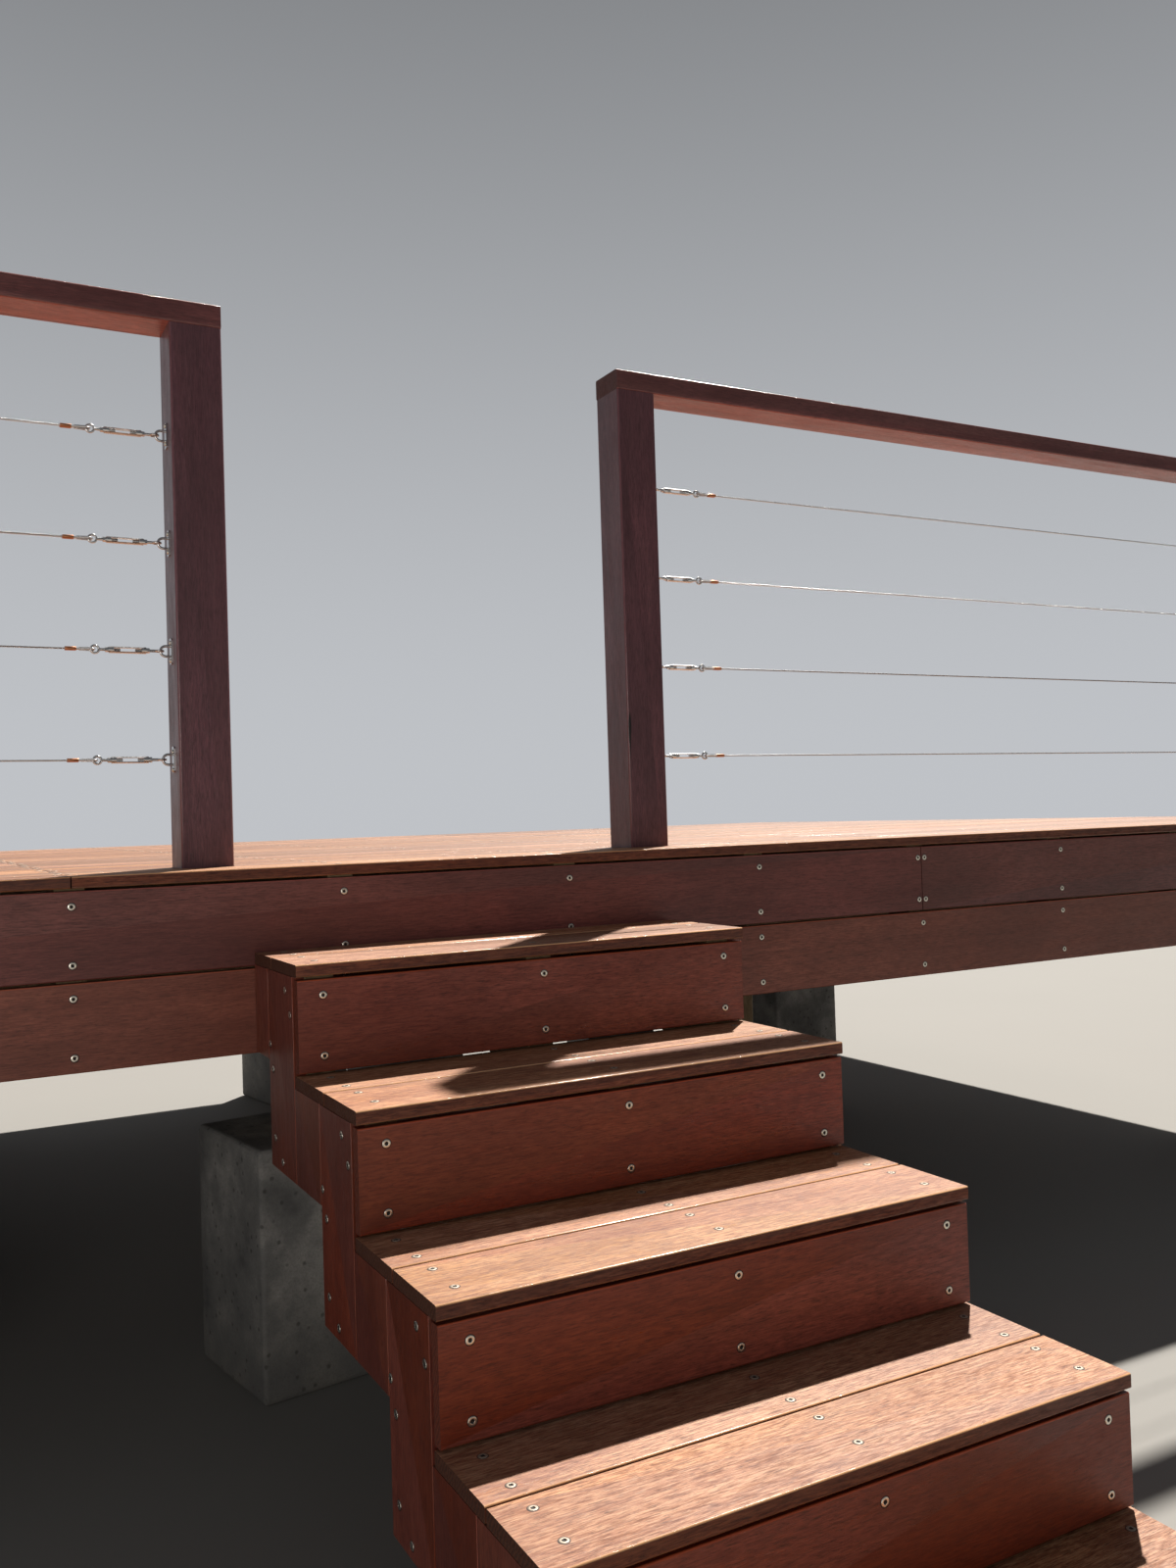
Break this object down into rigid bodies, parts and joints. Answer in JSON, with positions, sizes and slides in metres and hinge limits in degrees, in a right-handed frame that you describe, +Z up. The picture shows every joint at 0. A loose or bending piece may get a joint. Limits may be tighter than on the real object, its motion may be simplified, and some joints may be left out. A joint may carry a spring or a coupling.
{
  "type": "wooden deck with stairs",
  "caption": "Low timber deck on concrete piers, with a boxed flight of wooden stairs, a stair opening between posts, flat top rails and a taut wire balustrade.",
  "frame": {"origin": "on the ground, at the middle of the underside of the flight's concrete footing", "axes": "+X along the front of the deck to the right of someone who climbs, +Y in the direction of climbing, +Z up"},
  "size_m": [5.857, 4.479, 1.98],
  "materials": {
    "deck_timber": "oiled, satin, fine grain",
    "cladding_timber": "oiled, satin, fine grain",
    "post_timber": "oiled, satin, fine grain",
    "frame_timber": "rough sawn, dry",
    "concrete": "rough cast concrete",
    "stainless_steel": "satin stainless steel",
    "copper": "pressed, dulled"
  },
  "bodies": {
    "root": {"tread_1": "deck_timber", "tread_2": "deck_timber", "tread_3": "deck_timber", "tread_4": "deck_timber", "tread_5": "deck_timber", "deck_front_board": "deck_timber", "deck_boards": "deck_timber", "riser_1": "cladding_timber", "riser_2": "cladding_timber", "riser_3": "cladding_timber", "riser_4": "cladding_timber", "riser_5": "cladding_timber", "side_cladding_left": "cladding_timber", "side_cladding_right": "cladding_timber", "fascia_upper": "cladding_timber", "fascia_lower": "cladding_timber", "fascia_left_end": "cladding_timber", "fascia_right_end": "cladding_timber", "fascia_rear": "cladding_timber", "post_stair_left": "post_timber", "post_stair_right": "post_timber", "post_end_left": "post_timber", "post_end_right": "post_timber", "top_rail_left": "post_timber", "top_rail_right": "post_timber", "stringer_left": "frame_timber", "stringer_middle": "frame_timber", "stringer_right": "frame_timber", "joists": "frame_timber", "post_noggings": "frame_timber", "fascia_cleats": "frame_timber", "bearers": "frame_timber", "stumps": "frame_timber", "stair_footing": "concrete", "piers": "concrete", "wires_left": "stainless_steel", "wires_right": "stainless_steel", "eye_plates_left": "stainless_steel", "eye_plates_right": "stainless_steel", "turnbuckles_left": "stainless_steel", "turnbuckles_right": "stainless_steel", "thimbles_left": "stainless_steel", "thimbles_right": "stainless_steel", "ferrules_left": "copper", "ferrules_right": "copper"}
  },
  "joints": []
}
